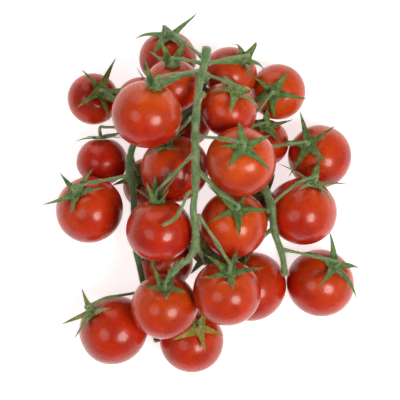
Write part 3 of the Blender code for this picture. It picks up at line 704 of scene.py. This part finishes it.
# ---- stems ------------------------------------------------------------------------------------
def add_stem(shape, line, radii, sides, rib_height, dice):
    """A round stem with shallow ribs, closed at both ends."""
    side_ways, up_ways = sides_along(line)
    count = len(line)
    length_mm = np.linalg.norm(np.diff(line, axis=0), axis=1).sum() / MM
    phase = dice.uniform(0, FULL_TURN)
    rings = []
    for k in range(count):
        ring, places = [], []
        for turn in np.arange(sides) * FULL_TURN / sides:
            rib = 1 + rib_height * math.cos(STEM_RIBS * turn + phase + STEM_RIB_TURN * k / count)
            out = side_ways[k] * math.cos(turn) + up_ways[k] * math.sin(turn)
            ring.append(line[k] + out * radii[k] * rib)
            places.append((turn / FULL_TURN, k / count * length_mm / STEM_UV_MM))
        rings.append(shape.add_ring(ring, places))
    shape.bridge_all(rings)
    for ring, inner, outer, radius in ((rings[0], line[1], line[0], radii[0]),
                                       (rings[-1], line[-2], line[-1], radii[-1])):
        cap = outer + unit(outer - inner) * radius * STEM_DOME
        shape.close(ring, cap, shape.places[ring[0]])


# ---- calyxes and pedicels --------------------------------------------------------------------
def read_calyx(number):
    """Hub point, the pedicel's rings from the hub outwards, and each sepal's tip and sections."""
    hub, (points, neighbours, pole) = calyx_hub(number)
    end = rings_from(neighbours, pole)[-1][0]
    pedicel = []
    for ring in rings_from(neighbours, end)[1:]:
        if len(ring) != PEDICEL_SOLID_SIDES:
            break
        centre = points[ring].mean(axis=0)
        pedicel.append((centre, np.linalg.norm(points[ring] - centre, axis=1).mean()))
    distance = distances_from(points, neighbours, pole)
    tips = [v for v, around in enumerate(neighbours)
            if len(around) == SEPAL_SOLID_SIDES and v != end
            and distance[v] > distance[around].max()]
    sepals = []
    for tip in tips:
        sections = []
        for ring in rings_from(neighbours, tip)[1:SEPAL_SECTIONS + 1]:
            if len(ring) != SEPAL_SOLID_SIDES:
                break
            corners = points[ring]
            centre = corners.mean(axis=0)
            _, spread, ways = np.linalg.svd(corners - centre)
            sections.append((centre, ways[1], spread[0]))
        sepals.append((points[tip], sections[::-1]))
    return hub, pedicel[::-1], sepals


def off_the_skin(point, fruit):
    """Move a point straight out until it is clear of a fruit's skin."""
    middle, radius, flatness, axis, _ = fruit
    away = point - middle
    along = away.dot(axis)
    across = math.sqrt(max(0.0, away.dot(away) - along ** 2))
    share = math.hypot(across / radius, along / (flatness * radius))
    least = 1 + SKIN_CLEARANCE / radius
    underneath = along < 0 and across < radius / 2
    return point if share > least or underneath else middle + away * least / share


def sepal_line(hub, fruit, others, tip, sections, growth, bend, dice):
    """The middle line of a blade, from its foot on the hub to its tip, clear of every fruit."""
    axis = fruit[3]
    foot = (hub + axis * SEPAL_FOOT_HEIGHT
            + unit(sections[0][0] - hub) * SEPAL_FOOT_REACH)
    guides = [section[0] for section in sections] + [tip]
    line = smooth_line([foot] + [hub + (guide - hub) * growth for guide in guides], SEPAL_STEPS)
    shares = np.linspace(0, 1, SEPAL_STEPS)[:, None]
    aside = unit(np.cross(axis, line[-1] - hub))
    line = line + axis * dice.uniform(*SEPAL_CURL) * shares ** 2.5
    line = line + (aside * dice.uniform(-1, 1) * SEPAL_SWAY + bend) * shares ** 2
    free = SEPAL_STEPS // 4    # the first quarter lies in the hollow at the stem end
    for skin in [*others, fruit]:
        line[free:] = [off_the_skin(point, skin) for point in line[free:]]
    return line


def upper_ways(axis, sections):
    """Which way the upper face looks at each section, from the hub to the tip."""
    ways, up = [], axis
    for _, thin, _ in sections:
        up = thin if thin.dot(up) > 0 else -thin
        ways.append(up)
    return ways


def blade_width(share, fullness):
    """Width of a sepal by its own: webbed near the hub, running out to a long point."""
    extra, place, spread = SEPAL_WEB
    web = 1 + extra * math.exp(-((share - place) / spread) ** 2)
    return web * max(SEPAL_POINT, 1 - share ** fullness)


def build_sepal(shape, hub, fruit, others, tip, sections, growth, bend, dice):
    """A pointed leaf blade along one sepal's sections, with a midrib and curled edges."""
    axis = fruit[3]
    line = sepal_line(hub, fruit, others, tip, sections, growth, bend, dice)
    sides, ups = sides_along(line, np.cross(axis, unit(sections[0][0] - hub)))
    uppers = upper_ways(axis, sections)
    width = max(section[2] for section in sections) * dice.uniform(*SEPAL_BREADTH)
    fold = dice.uniform(*SEPAL_FOLD)
    ripple = dice.uniform(*SEPAL_RIPPLE)
    waves = dice.uniform(*SEPAL_WAVES)
    twist = dice.uniform(*SEPAL_TWIST)
    fullness = dice.uniform(*SEPAL_FULLNESS)
    across = np.linspace(-1, 1, SEPAL_ACROSS + 1)
    rings = []
    for k in range(SEPAL_STEPS - 1):
        share = k / (SEPAL_STEPS - 1)
        half = width / 2 * blade_width(share, fullness)
        thick = SEPAL_THICKNESS * (1 - SEPAL_TIP_THINNING * share)
        turn = twist * share ** 1.5
        side = sides[k] * math.cos(turn) + ups[k] * math.sin(turn)
        rise = ups[k] * math.cos(turn) - sides[k] * math.sin(turn)
        if rise.dot(uppers[int(share * len(uppers))]) < 0:
            rise = -rise
        ring, places = [], []
        # Over the upper face, then back under the lower one.
        for face, spots in ((1, across), (-1, across[::-1][1:-1])):
            for x in spots:
                edge = abs(x)
                lift = half * fold * edge ** 1.6
                lift += half * ripple * edge * math.sin(share * waves * FULL_TURN + x)
                lift += face * thick / 2 * (1 - SEPAL_EDGE_THINNING * edge ** 2)
                if face > 0:
                    lift -= SEPAL_GROOVE * math.exp(-(x / SEPAL_GROOVE_WIDTH) ** 2)
                else:
                    lift -= SEPAL_RIB * (1 - share) * math.exp(-(x / SEPAL_RIB_WIDTH) ** 2)
                ring.append(line[k] + side * half * x + rise * lift)
                places.append(((x + 1) / 2, share))
        rings.append(shape.add_ring(ring, places))
    shape.bridge_all(rings)
    shape.close(rings[-1], line[-1], (0.5, 1.0))
    shape.close(rings[0], line[0], (0.5, 0.0))


def add_hub(shape, hub, axis, headings):
    """The joined bases of the sepals: a low lobed dome around the foot of the pedicel."""
    side, other = square_to(axis)
    rings = []
    for across_mm, height_mm in HUB_PROFILE_MM:
        ring = []
        for turn in np.arange(HUB_SIDES) * FULL_TURN / HUB_SIDES:
            near = min(abs(math.remainder(turn - heading, FULL_TURN)) for heading in headings)
            notch = HUB_NOTCH * min(1.0, near / HUB_NOTCH_ANGLE) ** 1.5
            reach = across_mm * (1 - notch * min(1.0, across_mm / HUB_NOTCH_START_MM))
            out = side * math.cos(turn) + other * math.sin(turn)
            ring.append(hub + (out * reach + axis * height_mm) * MM)
        rings.append(shape.add_ring(ring, [HUB_PLACE] * HUB_SIDES))
    shape.bridge_all(rings)
    shape.close(rings[0], hub + axis * HUB_TOP, HUB_PLACE)
    shape.close(rings[-1], hub + axis * HUB_BOTTOM, HUB_PLACE)


def build_star(number, hub, fruit, others, sepals, material, dice):
    """The five sepals of a calyx and their joined bases."""
    axis = fruit[3]
    side, other = square_to(axis)

    def heading(sepal):
        away = sepal[1][0][0] - hub
        return math.atan2(away.dot(other), away.dot(side))

    sepals.sort(key=heading)
    shape = Shape()
    growth = LONG_SEPALS.get(number, 1.0)
    way, more, moved_mm = STRAY_SEPALS.get(number, (axis, 1.0, (0.0, 0.0, 0.0)))
    stray = max(sepals, key=lambda sepal: unit(sepal[0] - hub).dot(unit(np.array(way))))
    for sepal in sepals:
        if sepal is stray:
            build_sepal(shape, hub, fruit, others, *sepal, growth * more,
                        np.array(moved_mm) * MM, dice)
        else:
            build_sepal(shape, hub, fruit, others, *sepal, growth, np.zeros(3), dice)
    add_hub(shape, hub, axis, [heading(sepal) for sepal in sepals])
    return make_piece(f"sepal_star_{number:02d}", shape, material,
                      {"yellowed": YELLOWED.get(number, USUAL_YELLOW)})


def build_pedicel(number, hub, axis, rings, material, dice):
    """The short knuckled stem of a fruit, from its calyx into the rachis."""
    centres = [centre for centre, _ in rings]
    radii = [radius for _, radius in rings]
    onward = unit(centres[-1] - centres[-2])
    centres = [hub + axis * PEDICEL_FOOT] + centres + [centres[-1] + onward * PEDICEL_LET_IN]
    radii = [radii[0] * PEDICEL_ENDS[0]] + radii + [radii[-1] * PEDICEL_ENDS[1]]
    values = smooth_line(np.column_stack([centres, radii]), PEDICEL_STEPS)
    height, winding = PEDICEL_WAVES
    uneven = 1 + height * np.sin(np.linspace(0, winding, PEDICEL_STEPS) + number)
    shape = Shape()
    add_stem(shape, values[:, :3], values[:, 3] * uneven * PEDICEL_SHARE, PEDICEL_SIDES,
             STEM_RIB_HEIGHT["pedicel"], dice)
    return make_piece(f"pedicel_{number:02d}", shape, material, {"joint": 0.0, "cut": 0.0})


def build_calyx(number, fruits, leaf, stalk):
    """A fruit's star of sepals and its pedicel."""
    hub, pedicel, sepals = read_calyx(number)
    fruit = fruits[number]
    others = [facts for other, facts in fruits.items() if other != number]
    dice = np.random.default_rng(SEED * 200 + number)
    star = build_star(number, hub, fruit, others, sepals, leaf, dice)
    stem = build_pedicel(number, hub, fruit[3], pedicel, stalk, dice)
    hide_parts(f"calyx_{number:02d}")
    for piece in (star, stem):
        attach(piece, "root")
    return [star, stem]


# ---- rachises -----------------------------------------------------------------------------------
def read_stem(name, sides):
    """Centre and radius of each ring of a stem's solid, from its end with the greatest y."""
    points, neighbours = read_solid(name)
    start = max(poles(points, neighbours, sides)[:2], key=lambda v: points[v][1])
    facts = []
    for ring in rings_from(neighbours, start):
        if len(ring) == sides:
            centre = points[ring].mean(axis=0)
            facts.append([*centre, np.linalg.norm(points[ring] - centre, axis=1).mean()])
    return np.array(facts)


def let_in(facts):
    """The same rings with one more at the start, inside the stalk that it grows from."""
    first = facts[0].copy()
    first[:3] -= unit(facts[1, :3] - facts[0, :3]) * STALK_LET_IN
    return np.vstack([first, facts])


def add_stub(shape, line, place, way, length_mm, radius_mm, dice):
    """A short swollen knuckle standing on a rachis."""
    root = line[round(place * (len(line) - 1))]
    reach = np.linspace(STUB_START, (length_mm + STUB_CAP_MM) * MM, len(STUB_OUTLINE))
    stub = root + unit(np.array(way)) * reach[:, None]
    radii = radius_mm * MM * np.array(STUB_OUTLINE)
    add_stem(shape, stub, radii, PEDICEL_SIDES, STEM_RIB_HEIGHT["pedicel"], dice)


def build_rachis(name, material):
    """One rachis with its knuckles, fresher green at its joints and dry where it was cut."""
    rings = read_stem(name, RACHIS_SOLID_SIDES)
    whole = name == "main_rachis"
    steps = STEPS_ALONG[name]
    facts = smooth_line(rings if whole else let_in(rings), steps)
    dice = np.random.default_rng(SEED * 300 + len(name))
    line, radii = facts[:, :3], facts[:, 3]
    height, winding = RACHIS_WAVES
    radii = radii * (1 + height * np.sin(np.linspace(0, winding, steps)))
    shape = Shape()
    add_stem(shape, line, radii, STALK_SIDES, STEM_RIB_HEIGHT["rachis"], dice)
    swell = np.clip((radii - np.median(radii)) / JOINT_SWELL, 0, 1)
    share = np.linspace(0, 1, steps)
    from_cut = share if whole else 1 - share
    dry = np.clip((CUT_REACH - from_cut) / CUT_FADE, 0, 1)
    stem_end = len(shape.vertices)
    for rachis, *stub in STUBS:
        if rachis == name:
            add_stub(shape, line, *stub, dice)
    # Values follow the rings; the two end points and the stubs come after.
    joint, cut = np.zeros(len(shape.vertices)), np.zeros(len(shape.vertices))
    joint[:stem_end - 2] = np.repeat(swell * JOINT_TINT, STALK_SIDES)
    cut[:stem_end - 2] = np.repeat(dry, STALK_SIDES)
    cut[stem_end - 2 if whole else stem_end - 1] = 1
    # The rachis's painted shade, a darker green for lying in shadow, goes on as a value.
    piece = make_piece(f"{name}_stem", shape, material,
                       {"joint": joint, "cut": cut, "painted_shade": PAINTED_SHADE_GREEN.get(name, 0.0)})
    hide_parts(name)
    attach(piece, "root")
    return piece


def build_bare_pedicel(material):
    """The pedicel whose fruit has dropped off."""
    facts = smooth_line(let_in(read_stem("bare_pedicel", PEDICEL_SOLID_SIDES)),
                        BARE_PEDICEL_STEPS)
    shape = Shape()
    add_stem(shape, facts[:, :3], facts[:, 3], PEDICEL_SIDES, STEM_RIB_HEIGHT["pedicel"],
             np.random.default_rng(SEED * 400))
    piece = make_piece("bare_pedicel_stem", shape, material, {"joint": 0.0, "cut": 0.0})
    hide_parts("bare_pedicel")
    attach(piece, "root")
    return piece


# ---- hairs ------------------------------------------------------------------------------------
def hair_tree(material):
    """Geometry Nodes: short tapering hairs that stand on a surface, each leaning its own way."""
    tree = bpy.data.node_groups.new("stalk_hairs", "GeometryNodeTree")
    sockets = tree.interface
    sockets.new_socket("Geometry", in_out="INPUT", socket_type="NodeSocketGeometry")
    for name, kind, value in (("Density", "NodeSocketFloat", RACHIS_HAIRS),
                              ("Length", "NodeSocketFloat", HAIR_LENGTH),
                              ("Thickness", "NodeSocketFloat", HAIR_THICKNESS),
                              ("Seed", "NodeSocketInt", SEED)):
        socket = sockets.new_socket(name, in_out="INPUT", socket_type=kind)
        socket.default_value = value
    sockets.new_socket("Geometry", in_out="OUTPUT", socket_type="NodeSocketGeometry")
    given = add(tree, "NodeGroupInput").outputs
    spots = add(tree, "GeometryNodeDistributePointsOnFaces", {
        "Mesh": given["Geometry"], "Density": given["Density"], "Seed": given["Seed"]})
    hair = add(tree, "GeometryNodeMeshCone", {
        "Vertices": 3, "Radius Top": HAIR_TIP, "Radius Bottom": given["Thickness"],
        "Depth": given["Length"]}, fill_type="NONE")
    lean = add(tree, "FunctionNodeRandomValue", {
        "Min": [-angle for angle in HAIR_LEAN], "Max": HAIR_LEAN, "Seed": given["Seed"]},
        data_type="FLOAT_VECTOR")
    turned = add(tree, "FunctionNodeRotateRotation", {
        "Rotation": spots.outputs["Rotation"], "Rotate By": lean}, rotation_space="LOCAL")
    size = add(tree, "FunctionNodeRandomValue", {
        2: HAIR_SIZES[0], 3: HAIR_SIZES[1], "Seed": given["Seed"]}, data_type="FLOAT")
    placed = add(tree, "GeometryNodeInstanceOnPoints", {
        "Points": spots, "Instance": hair, "Rotation": turned, "Scale": size})
    real = add(tree, "GeometryNodeRealizeInstances", {"Geometry": placed})
    painted = add(tree, "GeometryNodeSetMaterial", {"Geometry": real, "Material": material})
    add(tree, "NodeGroupOutput", {0: painted})
    return tree


def grow_hairs(name, pieces, tree, density, length):
    """Grow hairs on a joined copy of the pieces and keep only the hairs, as one mesh."""
    vertices, faces = [], []
    for piece in pieces:
        first = len(vertices)
        vertices += [tuple(v.co) for v in piece.data.vertices]
        faces += [tuple(first + v for v in face.vertices) for face in piece.data.polygons]
    ground = bpy.data.meshes.new("ground")
    ground.from_pydata(vertices, [], faces)
    base = bpy.data.objects.new("ground", ground)
    bpy.context.scene.collection.objects.link(base)
    modifier = base.modifiers.new("hairs", "NODES")
    modifier.node_group = tree
    sockets = {item.name: item.identifier for item in tree.interface.items_tree
               if item.in_out == "INPUT"}
    modifier[sockets["Density"]] = density
    modifier[sockets["Length"]] = length
    evaluated = base.evaluated_get(bpy.context.evaluated_depsgraph_get())
    mesh = bpy.data.meshes.new_from_object(evaluated)
    bpy.data.objects.remove(base)
    mesh.name = name
    hairs = bpy.data.objects.new(name, mesh)
    bpy.context.scene.collection.objects.link(hairs)
    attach(hairs, "root")
    return hairs


# ---- stage --------------------------------------------------------------------------------------
def lay_board(height):
    """The floor that the truss lies on."""
    board = bpy.data.meshes.new("white_board")
    corners = ((-1, -1), (1, -1), (1, 1), (-1, 1))
    board.from_pydata([(x * BOARD_HALF, y * BOARD_HALF, height) for x, y in corners], [],
                      [(0, 1, 2, 3)])
    board.materials.append(lit_white_board())
    floor = bpy.data.objects.new("white_board", board)
    bpy.context.scene.collection.objects.link(floor)


def light_tent():
    """Grey overhead and white around the sides, as in a light tent with a dim top."""
    world = bpy.data.worlds.new("light_tent")
    world.use_nodes = True
    tree = world.node_tree
    way = add(tree, "ShaderNodeTexCoord").outputs["Generated"]
    height = add(tree, "ShaderNodeSeparateXYZ", {0: way}).outputs["Z"]
    height = add(tree, "ShaderNodeMapRange", {
        "Value": height, "From Min": 0.25, "From Max": 0.75}, **SMOOTH)
    tone = add(tree, "ShaderNodeMix", {
        0: height, 6: srgb("FAFBFD"), 7: srgb("606368")}, **COLOURS)
    fill(tree.nodes["Background"], {"Color": tone, "Strength": TENT_STRENGTH})
    bpy.context.scene.world = world


def hang_lamps(aim):
    """Round soft lamps around the truss, facing it."""
    for name, way, distance, size, power, tint in LAMPS:
        light = bpy.data.lights.new(name, "AREA")
        light.shape = "DISK"
        light.size = size
        light.energy = power
        light.color = srgb(tint)[:3]
        lamp = bpy.data.objects.new(name, light)
        lamp.location = aim + Vector(way).normalized() * distance
        lamp.rotation_euler = Vector(way).to_track_quat("Z", "Y").to_euler()
        bpy.context.scene.collection.objects.link(lamp)


def build_stage():
    """Floor, light and a camera straight above."""
    low, high = (Vector(corner) for corner in cad_box)
    middle = (low + high) / 2
    aim = Vector((middle.x + AIM_OFFSET[0], middle.y + AIM_OFFSET[1], AIM_HEIGHT))
    lay_board(low.z)
    light_tent()
    hang_lamps(aim)
    eye = bpy.data.cameras.new("eye")
    eye.lens = EYE_LENS
    eye.sensor_width = EYE_SENSOR
    eye.clip_start = EYE_NEAR
    camera = bpy.data.objects.new("eye", eye)
    camera.location = aim + Vector((0, 0, EYE_HEIGHT))
    bpy.context.scene.collection.objects.link(camera)
    bpy.context.scene.camera = camera
    bpy.context.scene.view_settings.view_transform = "Standard"


def main():
    skin = ripe_tomato_skin()
    leaf = leafy_sepal()
    stalk = hairy_stalk()
    fruits = {number: fruit_facts(number) for number in range(1, FRUITS + 1)}
    greens = []
    for number, facts in fruits.items():
        build_fruit(number, facts, skin)
        greens += build_calyx(number, fruits, leaf, stalk)
    stems = [build_rachis(name, stalk) for name in STEPS_ALONG] + [build_bare_pedicel(stalk)]
    tree = hair_tree(plant_hair())
    grow_hairs("rachis_hairs", stems, tree, RACHIS_HAIRS, HAIR_LENGTH)
    grow_hairs("calyx_hairs", greens, tree, CALYX_HAIRS, CALYX_HAIR_LENGTH)
    build_stage()


main()
